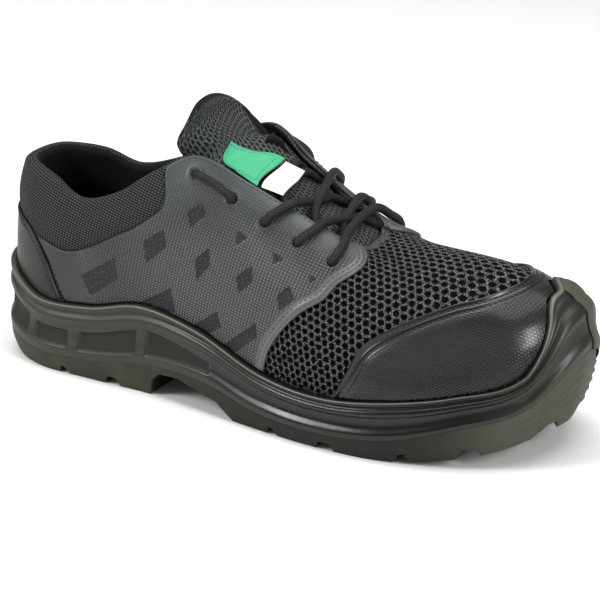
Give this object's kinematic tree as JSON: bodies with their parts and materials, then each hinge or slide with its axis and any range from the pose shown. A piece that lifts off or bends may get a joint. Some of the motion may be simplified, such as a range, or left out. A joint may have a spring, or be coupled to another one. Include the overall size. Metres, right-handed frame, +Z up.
{
  "type": "steel toe safety shoe",
  "caption": "Low-cut lace-up safety shoe with a padded mesh upper, a leather toe cap over a hard toe, a moulded rubber-guarded sole and lugged tread.",
  "frame": {"origin": "on the ground, under the middle of the shoe", "axes": "+X towards the toe, +Y towards the inner side of the foot, +Z up"},
  "size_m": [0.304, 0.1107, 0.1399],
  "materials": {
    "midsole": "moulded polyurethane, satin to gloss at the forefoot, matte olive grey at the heel",
    "outsole": "matte moulded rubber with lugs and ribs",
    "insole": "brushed textile over foam",
    "toe_cap": "coated leather with a small basket emboss, glossy",
    "heel_counter": "smooth coated leather, satin",
    "upper": "open air mesh on the vamp, ribbed textile round the collar",
    "quarter": "welded film with a fine ribbed emboss, satin",
    "tongue": "padded coarse mesh",
    "tag_green": "woven tag, plain",
    "tag_white": "woven tag, plain",
    "lace": "round braided cord"
  },
  "bodies": {
    "root": {"midsole": "midsole", "outsole": "outsole", "insole": "insole", "toe_cap": "toe_cap", "heel_counter": "heel_counter", "upper": "upper", "quarter_outer": "quarter", "quarter_inner": "quarter", "heel_tab": "heel_counter", "tongue": "tongue", "tongue_tag_green": "tag_green", "tongue_tag_white": "tag_white", "lace_bar": "lace", "lace_cross_1": "lace", "lace_cross_2": "lace", "lace_cross_3": "lace", "lace_lock_outer": "lace", "lace_lock_inner": "lace"}
  },
  "joints": []
}
